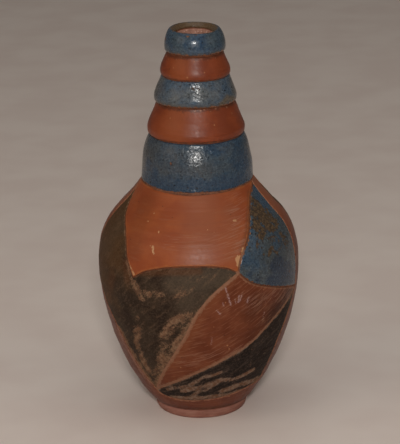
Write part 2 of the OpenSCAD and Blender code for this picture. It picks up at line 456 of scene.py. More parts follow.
def patch(segments, face, pitch=0.7, seams=()):
    """A thin closed coat inside a closed loop of lines.

    Seams says which of the lines are no edges, because the coat runs on unbroken there.
    Returns angle, length along, lift and distance from the edge of each point, and the
    faces."""
    edge_step, spacing, base_pitch = 0.3, 0.5, 4.0
    lines = [even_steps(line, edge_step)[:-1] for line in segments]
    raw = np.concatenate(lines)
    is_edge = np.concatenate([np.full(len(line), i not in seams) for i, line in enumerate(lines)])
    x, y = raw[:, 0], raw[:, 1]
    if np.sum(x * np.roll(y, -1) - np.roll(x, -1) * y) < 0:
        raw, is_edge = raw[::-1], is_edge[::-1]
    r = radius_at(raw[:, 1])
    ahead = np.roll(raw, -1, axis=0) - np.roll(raw, 1, axis=0)
    way = np.stack([ahead[:, 0] * r, ahead[:, 1]], axis=1)
    way /= np.linalg.norm(way, axis=1, keepdims=True)
    inward = np.stack([-way[:, 1] / r, way[:, 0]], axis=1)
    edge_tree = tree_of(skin(raw[is_edge, 0], raw[is_edge, 1], 0))
    # A line scored by hand varies in width.
    gap = GAP * (1 + 0.16 * np.sin(raw[:, 0] * 23) * np.sin(raw[:, 1] / 4.1))

    def row(deep):
        """Points at a depth inside the coat's edge, and which of them follow an edge."""
        moved = raw + np.where(is_edge, gap + deep, 0)[:, None] * inward
        far = distance(edge_tree, moved)
        keep = far > (gap + deep) * 0.985
        if deep > 0:
            keep &= is_edge
        moved, edge = moved[keep], is_edge[keep]
        kept = spaced(moved, spacing)
        return moved[kept], edge[kept]

    loop, loop_edge = row(0)
    rows = [row(deep)[0] for deep in PANEL_EDGE]
    seam_tree = tree_of(skin(raw[~is_edge, 0], raw[~is_edge, 1], 0)) if not is_edge.all() else None

    def inside_points(step, clear):
        """A grid of points clear of the loop, every other row shifted by half a step."""
        found = []
        heights = np.arange(raw[:, 1].min(), raw[:, 1].max(), step * 0.866)
        for j, at in enumerate(heights):
            turn = step / radius_at(at)
            angle = np.arange(raw[:, 0].min() + (j % 2) * turn / 2, raw[:, 0].max(), turn)
            found.append(np.stack([angle, np.full(len(angle), at)], axis=1))
        found = np.concatenate(found)
        found = found[within(found, loop)]
        found = found[distance(edge_tree, found) > clear]
        if seam_tree:
            found = found[distance(seam_tree, found) > step * 0.6]
        return found

    flat = float(np.mean(r))                # makes angles about as long as lengths along

    def triangles(others):
        """Triangles inside the loop: points, which given point each was, and faces."""
        points = np.concatenate([loop] + others)
        ring = [(i, (i + 1) % len(loop)) for i in range(len(loop))]
        co, _, faces, origin, _, _ = delaunay_2d_cdt(
            [Vector((a * flat, s)) for a, s in points], ring, [], 1, 1e-7)
        out = np.array([(p.x / flat, p.y) for p in co])
        first = np.array([o[0] if o else -1 for o in origin])
        known = first >= 0
        out[known] = points[first[known]]
        return out, first, [tuple(f) for f in faces]

    middle = inside_points(pitch, GAP + PANEL_EDGE[-1] + 0.6 * pitch)
    top, first, top_faces = triangles(rows + [middle])
    far = distance(edge_tree, top)
    edge = np.maximum(far - GAP, 0)
    lift = face(edge)
    on_loop = (first >= 0) & (first < len(loop))
    buried = on_loop & loop_edge[np.clip(first, 0, len(loop) - 1)]
    lift[buried], edge[buried] = BURIED, 0
    base, _, base_faces = triangles([inside_points(base_pitch, GAP + 2.5)])
    n = len(top)
    faces = top_faces + [tuple(n + i for i in reversed(f)) for f in base_faces]
    angle, at = np.concatenate([top, base]).T
    under = np.zeros(len(base))
    return angle, at, np.append(lift, under + BURIED), np.append(edge, under), faces


def coat_panel(name, side, segments, kind, material, lean, **marks):
    """One panel of the pattern, at the front (side 0) or half a turn on (side 1).

    Lean is how many degrees its brush strokes lean from level."""
    face, slot, throwing = kind
    angle, at, lift, edge, faces = patch(segments, face)
    points = skin(angle + side * math.pi, at, lift, throwing)
    attributes = {"edge": edge, "below": edge, "across": angle,
                  "lay": lay_of(angle, at, math.radians(lean)) + side * 0.3}
    attributes.update(marks_on(angle, at, **marks))
    node = ("back_" if side else "front_") + name
    make_piece(node, points, faces, attributes, material)


# The scored lines of the pattern, as [degrees from the front, height in mm].
LEFT, RIGHT = -86, 73.5                         # degrees round to the pattern's edges
LEFT_LOW, LEFT_TOP, RIGHT_TOP = 100, 149, 152.4     # heights where lines run out at them
corner, tip = [22.5, 109.5], [-43, 21.8]
left_corner, right_corner, low_corner = [-40, 104.4], [RIGHT, 86.2], [61, 23.5]
shoulder_left = smooth([left_corner, [-46, 116], [-50, 124], [-57, 131], [-71, 139],
                        [LEFT, LEFT_TOP]])
shoulder_foot = smooth([left_corner, [-31, 110.1], [-16, 114.2], [3, 115], [15, 113.3], corner])
shoulder_right = smooth([corner, [25, 118], [33, 128.5], [43, 139.5], [57, 148.5],
                         [RIGHT, RIGHT_TOP]])
leaf_top = smooth([corner, [8, 97.8], [-2, 84], [-10, 66.6], [-21, 48.5], [-34, 32], tip])
leaf_foot = smooth([right_corner, [62, 79.3], [48, 71.2], [32, 59], [10, 47.5], [-14, 35], tip])
blue_foot = smooth([corner, [29, 102.7], [37, 98.3], [54, 92], right_corner])
low_foot = smooth([tip, [-36, 18.4], [-18, 16.6], [4, 17.2], [22, 18.6], [40, 21.4], low_corner])
low_right = smooth([low_corner, [60, 40], [62, 56], [67, 70], right_corner])
dark_left = smooth([[LEFT, LEFT_LOW], [-78, 86], [-68, 73.5], [-59.5, 60], [-55, 46], [-48.5, 33],
                    tip])
collar_foot = COLLAR_LOW + 0.2


def upright(degrees, low, high):
    """A line straight up or down the vase."""
    z = np.linspace(low, high, 40)
    return np.stack([np.full(40, math.radians(degrees)), at_height(z)], axis=1)


def round_line(first, last, z):
    """A line round the vase at one height."""
    return np.stack([np.radians(np.linspace(first, last, 60)), np.full(60, at_height(z))], axis=1)


SHOULDER_RED = [shoulder_left[::-1], shoulder_foot, shoulder_right,
                upright(RIGHT, RIGHT_TOP, collar_foot), round_line(RIGHT, LEFT, collar_foot),
                upright(LEFT, collar_foot, LEFT_TOP)]
BLUE_PANEL = [shoulder_right[::-1], blue_foot, upright(RIGHT, right_corner[1], RIGHT_TOP)]
DARK_LEAF = [shoulder_left[::-1], shoulder_foot, leaf_top, dark_left[::-1],
             upright(LEFT, LEFT_LOW, LEFT_TOP)]
RED_LEAF = [blue_foot[::-1], leaf_top, leaf_foot[::-1]]
LOW_DARK = [leaf_foot, low_foot, low_right]

SEAM = (RIGHT + LEFT + 180) / 2         # the middle of the plain strip at the right
GROUND = [round_line(SEAM - 180, SEAM, BELLY_LOW), upright(SEAM, BELLY_LOW, collar_foot),
          round_line(SEAM, RIGHT, collar_foot), upright(RIGHT, collar_foot, right_corner[1]),
          low_right[::-1], low_foot[::-1], dark_left[::-1], upright(LEFT, LEFT_LOW, collar_foot),
          round_line(LEFT, SEAM - 180, collar_foot), upright(SEAM - 180, collar_foot, BELLY_LOW)]
GROUND_SEAMS = (1, len(GROUND) - 1)     # where the ground's two halves meet


# ---------------- materials
def tone(red, green, blue):
    """A colour given as 0 to 255 on a screen."""
    def linear(c):
        c /= 255
        return c / 12.92 if c <= 0.04045 else ((c + 0.055) / 1.055) ** 2.4
    return (linear(red), linear(green), linear(blue), 1)


class Paint:
    """The node tree of one material, with a short call for each kind of node in it."""

    def __init__(self, name, colour):
        self.material = bpy.data.materials.new(name)
        self.material.use_nodes = True
        self.tree = self.material.node_tree
        self.shader = self.tree.nodes["Principled BSDF"]
        self.place = self.new("ShaderNodeTexCoord").outputs["Object"]
        self.colour = colour
        self.heights = []

    def new(self, kind, **settings):
        node = self.tree.nodes.new(kind)
        for key, value in settings.items():
            setattr(node, key, value)
        return node

    def put(self, socket, value):
        if isinstance(value, bpy.types.NodeSocket):
            self.tree.links.new(value, socket)
        else:
            socket.default_value = value

    def value(self, name, output="Fac"):
        return self.new("ShaderNodeAttribute", attribute_name=name).outputs[output]

    def spread(self, place, stretch, shift=0.0):
        """Coordinates scaled by a different amount along each axis."""
        node = self.new("ShaderNodeMapping")
        self.put(node.inputs["Vector"], place)
        node.inputs["Scale"].default_value = stretch
        node.inputs["Location"].default_value = (shift, shift * 0.7, shift * 1.3)
        return node.outputs["Vector"]

    def noise(self, size, detail=2.0, rough=0.5, place=None, stretch=(1, 1, 1), shift=0.0):
        """Soft noise with blobs of a size in mm."""
        node = self.new("ShaderNodeTexNoise")
        node.inputs["Scale"].default_value = 1 / (size * MM)
        node.inputs["Detail"].default_value = detail
        node.inputs["Roughness"].default_value = rough
        self.put(node.inputs["Vector"], self.spread(place or self.place, stretch, shift))
        return node.outputs["Fac"]

    def dots(self, pitch, radius, share, shift=0.0):
        """A scatter of dots: 1 inside a dot. Only a share of the cells holds one."""
        node = self.new("ShaderNodeTexVoronoi")
        node.inputs["Scale"].default_value = 1 / (pitch * MM)
        self.put(node.inputs["Vector"], self.spread(self.place, (1, 1, 1), shift))
        near = self.band(node.outputs["Distance"], radius / pitch, radius / pitch * 0.55)
        apart = self.new("ShaderNodeSeparateColor")
        self.put(apart.inputs[0], node.outputs["Color"])
        return self.times(near, self.math("LESS_THAN", apart.outputs[0], share))

    def math(self, operation, a, b):
        node = self.new("ShaderNodeMath", operation=operation)
        self.put(node.inputs[0], a)
        self.put(node.inputs[1], b)
        return node.outputs[0]

    def add(self, a, b):
        return self.math("ADD", a, b)

    def times(self, a, b):
        return self.math("MULTIPLY", a, b)

    def band(self, value, low, high, bottom=0.0, top=1.0):
        """Runs smoothly from bottom to top as the value goes from low to high."""
        node = self.new("ShaderNodeMapRange", interpolation_type="SMOOTHSTEP")
        for socket, number in zip(node.inputs, (value, low, high, bottom, top)):
            self.put(socket, number)
        return node.outputs[0]

    def ragged(self, reach, size, detail=2.0, rough=0.5, **noise):
        """Noise that strays by up to a reach either side of nothing."""
        return self.band(self.noise(size, detail, rough, **noise), 0.3, 0.7, -reach, reach)

    def mix(self, amount, under, over):
        node = self.new("ShaderNodeMix", data_type="RGBA")
        self.put(node.inputs["Factor"], amount)
        self.put(node.inputs[6], under)
        self.put(node.inputs[7], over)
        return node.outputs[2]

    def blend(self, under, over, value, low, high, strength=1.0):
        """One colour laid over another as a value goes from low to high."""
        return self.mix(self.band(value, low, high, 0, strength), under, over)

    def wash(self, over, value, low, high, strength=1.0):
        """Lays a colour over what is there, as a value goes from low to high."""
        self.colour = self.blend(self.colour, over, value, low, high, strength)

    def tint(self, over, where, strength=1.0):
        """Lays a colour over what is there, where a value from 0 to 1 says."""
        self.colour = self.mix(self.times(where, strength), self.colour, over)

    def bump(self, height, depth):
        """Adds a height field whose full range is a depth in mm."""
        self.heights.append((height, depth * MM))

    def finish(self, roughness, shine):
        """Wires up the shader and returns the material."""
        self.put(self.shader.inputs["Base Color"], self.colour)
        self.put(self.shader.inputs["Roughness"], roughness)
        self.shader.inputs["Specular IOR Level"].default_value = shine
        normal = None
        for height, depth in self.heights:
            node = self.new("ShaderNodeBump")
            node.inputs["Strength"].default_value = 1.0
            node.inputs["Distance"].default_value = depth
            self.put(node.inputs["Height"], height)
            if normal:
                self.put(node.inputs["Normal"], normal)
            normal = node.outputs["Normal"]
        if normal:
            self.put(self.shader.inputs["Normal"], normal)
        return self.material


CLAY_TAN = tone(150, 104, 78)
CLAY_PINK = tone(140, 88, 66)
LINES = (1, 1, 16)          # squeezes noise into lines round the vase
ALONG = (0.07, 1, 1)        # draws noise out along the brush
DRIPS = (1, 1, 0.3)         # draws noise out up and down


def bare_clay():
    """Pale pink clay at the foot and in the throat, stained by the coats in the lines."""
    p = Paint("bare_clay", tone(152, 104, 90))
    p.wash(tone(136, 88, 74), p.noise(9), 0.35, 0.65)
    p.wash(tone(170, 124, 106), p.noise(10, stretch=LINES), 0.45, 0.6, 0.3)
    throat = p.value("throat")
    p.tint(tone(176, 132, 114), throat, 0.8)
    mottled = p.times(throat, p.band(p.noise(1.8, 4, 0.7, shift=3.0), 0.46, 0.62))
    p.tint(tone(126, 84, 66), mottled, 0.6)
    # Painted glints: small pale dots in the throat stand for shiny specks of light.
    painted_glints = p.times(throat, p.dots(1.8, 0.65, 0.5, 5.0))
    p.tint(tone(208, 174, 158), painted_glints, 0.8)
    line = p.blend(tone(112, 62, 36), tone(88, 50, 32), p.noise(3.5, 3), 0.35, 0.65)
    rubbed = p.add(p.value("pale"), p.band(p.noise(1.6, 3), 0.3, 0.7, -0.35, 0.1))
    line = p.blend(line, tone(140, 98, 74), rubbed, 0.0, 1.0)
    p.tint(line, p.value("stained"))
    p.tint(tone(82, 50, 38), p.dots(2.6, 0.3, 0.3))
    p.bump(p.noise(0.5, 4), 0.12)
    p.bump(p.noise(9, stretch=LINES), 0.08)
    return p.finish(p.band(p.noise(3), 0.3, 0.7, 0.62, 0.8), 0.3)


def stain_and_shade_ring(p, stain_and_shade, stray):
    """What glaze did to a red ring, and the light painted on it: warm light on one side; glaze
    drips and crumbs from above, in a dark band that is partly stain, partly painted shadow under
    the ring above; and a dark line below, partly darker slip, partly painted shadow at the groove.
    """
    # Painted warm light: an oranger tone towards the warm-lit side.
    p.wash(tone(140, 70, 30), p.value("across"), 0.55, 0.1, 0.6)
    # A dark band down from the top edge, with drips: partly glaze stain, partly painted shadow
    # under the ring above.
    drips_and_shadow = p.add(p.value("above"), p.ragged(0.8, 2.2, 3, 0.6, stretch=DRIPS, shift=11.0))
    p.wash(tone(82, 38, 17), drips_and_shadow, 2.5, 0.5, stain_and_shade)
    # A dark line along the bottom edge: partly darker slip, partly painted shadow at the groove.
    foot = p.add(p.value("below"), stray)
    p.wash(tone(70, 36, 20), foot, 1.3, 0.5, stain_and_shade * 0.6)
    crumbs = p.times(p.dots(2.4, 0.8, 0.6, 2.0), p.band(drips_and_shadow, 2.2, 1.0))
    p.tint(tone(160, 112, 84), crumbs, 0.7)
    p.tint(tone(178, 122, 80), p.dots(5.2, 0.62, 0.5, 7.0), 0.7)


def red_slip(name, deep, light, scratch=0.2, edge_tone=CLAY_TAN, edge_width=0.8, use_lay=False,
             stain_and_shade=0.0, worn=CLAY_TAN, bloom=CLAY_PINK, shade=CLAY_PINK, shine=0.38):
    """Burnished red slip, scuffed round the vase or along the brush."""
    p = Paint(name, deep)
    place = p.value("lay", "Vector") if use_lay else p.place
    stretch = ALONG if use_lay else LINES
    p.wash(light, p.noise(14, 3), 0.36, 0.64)
    p.wash(deep, p.noise(3.2, 3), 0.4, 0.75, 0.4)
    # Bloom and shade marks: in places painted sheen and painted shade.
    p.tint(bloom, p.value("bloom"), 0.8)
    p.tint(shade, p.value("shade"), 0.8)
    streak = p.noise(1.2 if use_lay else 14, 3, 0.65, place, stretch)
    fine = p.noise(0.7 if use_lay else 9, 3, 0.65, place, stretch, 3.0)
    scuffed = p.band(p.noise(20, 2, shift=1.0), 0.42, 0.62)
    lines = p.times(p.band(streak, 0.53, 0.66), scuffed)
    p.tint(CLAY_TAN, lines, scratch)
    p.wash(CLAY_TAN, fine, 0.56, 0.7, scratch * 0.8)
    pale = p.times(p.value("chalk"), p.band(fine, 0.49, 0.62))
    p.tint(tone(164, 126, 106), pale, 0.7)
    drawn = p.add(p.value("chalk"), p.ragged(0.25, 0.9, 3))
    p.wash(tone(154, 124, 120), drawn, 0.66, 0.9, 0.85)
    stray = p.ragged(0.6, 2.0, 3, shift=5.0)
    thin = p.add(p.value("edge"), stray)
    p.wash(edge_tone, thin, edge_width, edge_width * 0.2, 0.75)
    if stain_and_shade:
        stain_and_shade_ring(p, stain_and_shade, stray)
    p.tint(tone(176, 122, 82), p.dots(7.5, 0.75, 0.4), 0.7)
    p.tint(tone(50, 26, 17), p.dots(5.1, 0.5, 0.3, 4.0), 0.6)
    rubbed = p.add(p.value("wear"), p.band(p.noise(1.3, 4, 0.6), 0.25, 0.75, -0.4, 0.4))
    mark = p.band(rubbed, 0.42, 0.72)
    p.tint(worn, mark, 0.8)
    p.bump(p.noise(0.7, 3), 0.05)
    p.bump(streak, 0.05)
    p.bump(mark, -0.05)
    matt = p.band(p.noise(2.4, 3, shift=2.0), 0.3, 0.7, 0.38, 0.5)
    return p.finish(p.add(matt, p.times(lines, 0.12)), shine)


def dark_slip(name, deep, light, worn_tone, warm_light_tone, bloom, shade):
    """Matt dark slip, rubbed through to the clay in soft patches along the brush."""
    p = Paint(name, deep)
    lay = p.value("lay", "Vector")
    p.wash(light, p.noise(13, 3), 0.36, 0.64)
    up = p.new("ShaderNodeSeparateXYZ")
    p.put(up.inputs[0], p.place)
    low = p.band(up.outputs["Z"], 0.128, 0.05, 0, 0.8)      # less of the left tone low down
    # Painted warm light: a lighter, warmer tone on the left side, fading out low down.
    left = p.add(p.add(p.value("across"), p.ragged(0.2, 16, 2, shift=3.0)), low)
    p.wash(warm_light_tone, left, -0.35, -1.05, 0.9)
    # Shade marks: painted shade on the low dark panel; on the dark leaf, a lighter brown tint.
    p.tint(bloom, p.value("bloom"), 0.75)
    p.tint(shade, p.value("shade"), 0.75)
    streak = p.noise(2.6, 4, 0.62, lay, (0.2, 1, 1))
    p.wash(worn_tone, streak, 0.5, 0.72, 0.22)
    grain = p.noise(1.2, 4, 0.72)
    p.wash(tone(94, 76, 62), grain, 0.48, 0.66, 0.38)
    p.wash(tone(30, 21, 16), grain, 0.5, 0.34, 0.35)
    patchy = p.ragged(0.36, 4.2, 4, 0.6, place=lay, stretch=(0.5, 1, 1))
    speckled = p.ragged(0.3, 0.9, 3, 0.7, shift=7.0)
    worn = p.band(p.add(p.value("wear"), p.add(patchy, speckled)), 0.2, 0.95)
    thin = p.add(p.value("edge"), p.ragged(0.6, 2.2, 3, shift=5.0))
    worn = p.math("MAXIMUM", worn, p.band(thin, 0.5, 0.0, 0, 0.6))
    rubbed = p.blend(worn_tone, tone(112, 80, 60), p.noise(2.4, 3), 0.35, 0.65)
    p.tint(rubbed, worn, 0.9)
    p.tint(tone(140, 108, 82), p.dots(5.5, 0.36, 0.2), 0.6)
    p.bump(p.noise(0.55, 3), 0.07)
    p.bump(streak, 0.05)
    p.bump(worn, -0.06)
    return p.finish(p.band(worn, 0, 1, 0.56, 0.74), 0.08)


def blue_glaze(name, blue, grey, brown, deep, break_width, pitted=1.0,
               worn_tone=tone(148, 96, 62), worn_dark=tone(104, 62, 36)):
    """Slate blue glaze, speckled, breaking to rust and olive where it runs thin."""
    p = Paint(name, blue)
    p.wash(grey, p.noise(15, 3, 0.6), 0.36, 0.64)
    p.wash(grey, p.noise(3.2, 4, 0.65, shift=9.0), 0.46, 0.7, 0.5)
    # The bloom marks: browner glaze at the sides of the collar and middle ring, partly thinner
    # glaze, partly painted warm light; on the panel, a grey painted shade low down.
    p.tint(brown, p.value("bloom"), 0.8)
    # The shade marks: a deeper blue round the collar's foot, and painted shade on the collar's
    # right side and over the panel's lower right.
    deeper_and_shaded = p.add(p.value("shade"), p.ragged(0.3, 6, 3, shift=4.0))
    p.wash(deep, deeper_and_shaded, 0.2, 0.9, 0.85)
    grain = p.noise(1.3, 4, 0.75)
    p.wash(tone(30, 34, 40), grain, 0.5, 0.64, 0.6)
    p.wash(tone(98, 116, 126), grain, 0.46, 0.34, 0.45)
    p.tint(tone(20, 20, 24), p.dots(2.3, 0.62, 0.6), 0.7)
    p.tint(tone(14, 15, 22), p.dots(4.6, 0.85, 0.5, 9.0), 0.85)
    p.tint(tone(112, 62, 32), p.dots(8.0, 0.7, 0.1, 6.0), 0.8)
    thin = p.add(p.value("below"), p.ragged(0.6, 2.4, 3, shift=5.0))
    p.wash(tone(66, 56, 42), thin, break_width * 2, break_width * 0.7, 0.55)
    p.wash(tone(132, 78, 38), thin, break_width, break_width * 0.3, 0.85)
    lip = p.add(p.value("inward"), p.ragged(0.35, 2.0, 4, 0.65, shift=8.0))
    p.wash(tone(98, 76, 50), lip, 0.35, 0.75, 0.92)
    flakes = p.add(p.band(p.noise(5, 2), 0.38, 0.62, -0.2, 0.2),
                   p.band(p.noise(2.2, 4, 0.7), 0.38, 0.62, -0.24, 0.24))
    crawled = p.add(p.value("wear"), flakes)
    bare = p.band(crawled, 0.46, 0.52)
    patch_tone = p.blend(worn_tone, worn_dark, p.noise(1.3, 4, 0.7), 0.42, 0.56)
    p.tint(patch_tone, bare, 0.95)
    rim_of_patch = p.times(p.band(crawled, 0.445, 0.48), p.band(crawled, 0.6, 0.5))
    p.tint(tone(44, 26, 16), rim_of_patch, 0.7)
    p.bump(p.noise(1.5, 2, 0.6), 0.17 * pitted)
    p.bump(p.noise(3.6, 1), 0.22 * pitted)
    p.bump(bare, -0.1)
    shine = p.band(p.noise(1.3, 3, shift=2.0), 0.3, 0.7, 0.15, 0.36)
    return p.finish(p.math("MAXIMUM", shine, p.times(bare, 0.6)), 0.44)


clay = bare_clay()
ring_red = red_slip(
    "burnished_red_rings", tone(116, 49, 20), tone(132, 60, 27), scratch=0.12, stain_and_shade=0.85)
ground_red = red_slip(
    "red_ground", tone(98, 46, 27), tone(112, 58, 36), scratch=0.3, worn=tone(142, 100, 78),
    bloom=tone(160, 94, 62), shade=tone(78, 34, 18), shine=0.25)
shoulder_red = red_slip(
    "burnished_red_shoulder", tone(142, 67, 31), tone(154, 78, 37), edge_tone=tone(160, 92, 46),
    edge_width=1.4, use_lay=True, worn=tone(196, 150, 108), bloom=tone(142, 78, 48),
    shade=tone(106, 58, 32))
leaf_red = red_slip(
    "burnished_red_leaf", tone(98, 47, 26), tone(115, 61, 37), scratch=0.6, edge_width=1.3,
    use_lay=True, worn=tone(132, 94, 70), bloom=tone(122, 68, 40), shade=tone(58, 21, 2),
    shine=0.16)
leaf_dark = dark_slip(
    "dark_slip", tone(46, 35, 27), tone(62, 50, 39), worn_tone=tone(138, 108, 84),
    warm_light_tone=tone(88, 62, 38), bloom=tone(84, 72, 59), shade=tone(96, 60, 36))
low_dark = dark_slip(
    "low_dark_slip", tone(30, 24, 22), tone(40, 33, 30), worn_tone=tone(136, 113, 97),
    warm_light_tone=tone(40, 29, 23), bloom=tone(50, 42, 38), shade=tone(24, 13, 7))
rim_blue = blue_glaze(
    "blue_glaze_rim", tone(48, 70, 94), tone(64, 78, 88), brown=tone(84, 76, 66),
    deep=tone(40, 70, 92), break_width=1.5, pitted=0.35)
ring_blue = blue_glaze(
    "blue_glaze_ring", tone(66, 84, 102), tone(90, 94, 96), brown=tone(104, 88, 66),
    deep=tone(50, 78, 100), break_width=2.2, pitted=1.3,
    worn_tone=tone(92, 62, 36), worn_dark=tone(48, 32, 18))
collar_blue = blue_glaze(
    "blue_glaze_collar", tone(46, 70, 90), tone(66, 76, 84), brown=tone(80, 74, 68),
    deep=tone(38, 60, 82), break_width=0.35, pitted=1.45)
# On the panel, the brown and deep colours are painted shade: a grey and a deep blue.
panel_blue = blue_glaze(
    "blue_glaze_panel", tone(54, 75, 94), tone(68, 75, 78), brown=tone(62, 64, 62),
    deep=tone(28, 44, 64), break_width=0.4, worn_tone=tone(98, 76, 50),
    worn_dark=tone(56, 40, 22))


# ---------------- the clay body
# Where the scored lines were rubbed pale, as (line, half width in mm, strength).
PALE_LINES = [(leaf_top, 1.6, 1.0), (leaf_foot, 1.6, 0.9), (low_foot, 1.6, 0.6),
              ([[-62.5, 64], [-55, 46], [-48.5, 33], [-45, 27]], 1.6, 1.0),
              ([[27.5, 122], [24.5, 112]], 1.6, 1.0), (shoulder_right, 1.6, 0.35),
              ([[-180, COLLAR_LOW], [180, COLLAR_LOW]], 1.6, 0.5)]


def clay_body():
    """The whole pot, which drops from the foot's edge and the lip to lie under the coats."""
    foot_step, lip_step = 0.3, 0.6          # how long the drop takes at each end, in mm
    seen = LIP_END + 10                     # how far the eye reaches into the throat
    at = np.unique(np.concatenate([
        np.arange(path_at[0], 0, 1.5), np.arange(0, seen, 1.0), np.arange(seen, path_at[-1], 4),
        [FOOT_EDGE - foot_step, FOOT_EDGE, LIP_END, LIP_END + lip_step, path_at[-1]]]))
    coated = np.clip((at - FOOT_EDGE + foot_step) / foot_step, 0, 1)
    coated *= np.clip((LIP_END + lip_step - at) / lip_step, 0, 1)
    angle = np.linspace(0, TURN, CLAY_AROUND, endpoint=False)
    whole, length = np.tile(angle, len(at)), np.repeat(at, CLAY_AROUND)
    under = np.repeat(coated, CLAY_AROUND)
    start = math.radians(SEAM - 180)
    half = (whole - start) % math.pi + start        # the back's lines repeat the front's
    pale = strokes_at(PALE_LINES, half, length)
    points = skin(whole, length, under * (CLAY + WORN_LINE * pale))
    attributes = {"stained": under, "throat": np.clip((length - CREST_AT) / 4, 0, 1),
                  "pale": pale}
    make_piece("clay_body", points, grid_faces(len(at), CLAY_AROUND, False), attributes, clay)


clay_body()


# ---------------- the neck
# Marks placed one by one, as (points of [degrees, height], half width in mm, strength).
# Browner glaze at the collar's sides and front left: partly thinner glaze, partly painted warm
# light.
LEFT_BROWN = [([[-95, 174], [-60, 174]], 14, 0.5), ([[95, 170], [80, 175]], 8, 0.4),
              ([[-30, 172], [0, 172]], 8, 0.35)]
# A deeper blue round the collar's foot and in patches, and painted shade on the collar's right
# side.
LOW_BLUE = [([[-180, 157], [180, 157]], 5.5, 1), ([[10, 182], [60, 178]], 5, 0.7),
            ([[-60, 166], [-48, 164]], 5, 0.8), ([[52, 176], [62, 164]], 9, 0.7)]
# Browner glaze at the middle ring's sides, partly thinner glaze, partly painted warm light; the
# last stroke is an olive zone low on the ring's right.
RING_BROWN = [([[-100, 211], [-70, 213]], 6, 0.5), ([[96, 213], [80, 213]], 5, 0.4),
              ([[38, 206], [50, 209], [66, 206.5]], 1.8, 1)]
RING_WEAR = [([[-5.5, 217], [-2.5, 216]], 0.55, 0.88), ([[0.5, 217.5]], 0.5, 0.85),
             ([[3.5, 217], [6, 216]], 0.55, 0.9)]
RIM_WEAR = [([[-15, 248.5], [-12, 248.5]], 0.55, 0.85), ([[3, 249]], 0.5, 0.8),
            ([[-79, 244]], 0.9, 1.1)]
COLLAR_WEAR = [([[-28.5, 172], [-28, 171]], 0.6, 0.85)]
ring_coat("rim_glaze", at_height(RIM_LOW + 0.5), LIP_END, BLUE, rim_blue, seed=3,
          stray=(0.3, 0.5), wear=RIM_WEAR)
ring_coat("upper_red_ring_slip", at_height(UPPER_LOW), at_height(RIM_LOW), RED, ring_red, seed=4)
ring_coat("middle_blue_ring_glaze", at_height(MIDDLE_LOW), at_height(UPPER_LOW), BLUE, ring_blue,
          seed=5, stray=(0.25, 0.15), wear=RING_WEAR, bloom=RING_BROWN)
ring_coat("lower_red_ring_slip", at_height(LOWER_LOW), at_height(MIDDLE_LOW), RED, ring_red, seed=6)
ring_coat("collar_blue_glaze", BELLY_END, at_height(LOWER_LOW), BLUE, collar_blue, seed=7,
          stray=(0.45, 0.15), wear=COLLAR_WEAR, bloom=LEFT_BROWN, shade=LOW_BLUE)

# ---------------- the belly
DARK_WEAR = [
    ([[-37.5, 100], [-34.5, 93]], 2.6, 0.72), ([[-31, 96], [-29, 95.5]], 2.4, 0.8),
    ([[-25, 96.5], [-21, 97]], 2.6, 0.5),
    ([[-6, 83.5], [-13, 80], [-22, 68.5]], 3.4, 0.72),
    ([[-3.5, 81], [-10, 70.5], [-18, 57], [-27, 41.5], [-38, 28.5]], 2.6, 0.88),
    ([[-21, 60], [-28, 46], [-35, 34]], 3.8, 0.64),
    ([[-38, 78], [-40.5, 70]], 1.6, 0.5),
    ([[-40.5, 70], [-44, 59], [-44, 47], [-42.5, 37]], 2.8, 0.74),
    ([[-60, 63], [-56.5, 55], [-52, 44], [-47.5, 33], [-44, 27]], 2.8, 0.84),
    (leaf_top[len(leaf_top) * 2 // 5:], 2.4, 0.85), (leaf_top, 1, 0.6),
    ([[-5, 102], [-13, 95.5]], 2, 0.42), ([[-45, 113], [-40, 101]], 1.2, 0.75)]
DARK_SHADE = [([[-36, 108.5], [-19, 111.5], [0, 112.5]], 2.2, 0.7),
              ([[-46, 112], [-44, 103]], 3, 0.7), ([[-58, 100], [-66, 84]], 4, 0.5)]
DARK_BLOOM = [([[-64, 132], [-68, 118]], 8, 0.4), ([[-14, 104], [4, 106], [17, 108]], 7, 0.9),
              ([[-8, 92], [2, 97]], 6, 0.6)]
LEAF_WEAR = [(leaf_foot, 2, 0.8), (leaf_top, 1.9, 0.68), (blue_foot, 1.3, 0.55)]
LEAF_CHALK = [
    ([[14.5, 101], [16, 95], [17.5, 89.5]], 0.75, 1), ([[22.5, 95], [22, 90.5]], 0.7, 1),
    ([[24.5, 96], [23, 91]], 0.6, 0.9), ([[28.5, 92.5], [27.5, 89.5]], 0.6, 0.9),
    ([[9.5, 86.5], [11.5, 84]], 0.7, 0.9), ([[13, 91.5], [13.5, 89]], 0.5, 0.9),
    ([[20, 93], [20.5, 90]], 0.5, 0.9), ([[40, 80], [39.5, 74]], 0.7, 0.7),
    ([[7, 68.5], [6.5, 63]], 0.6, 0.8), ([[11, 103.5], [12.5, 99]], 0.5, 0.7),
    ([[30, 88], [62, 86]], 6, 0.5), ([[-10, 50], [20, 58]], 5, 0.4)]
LEAF_BLOOM = [([[17, 104], [2, 86], [-8, 66], [-20, 46]], 3.2, 0.7)]
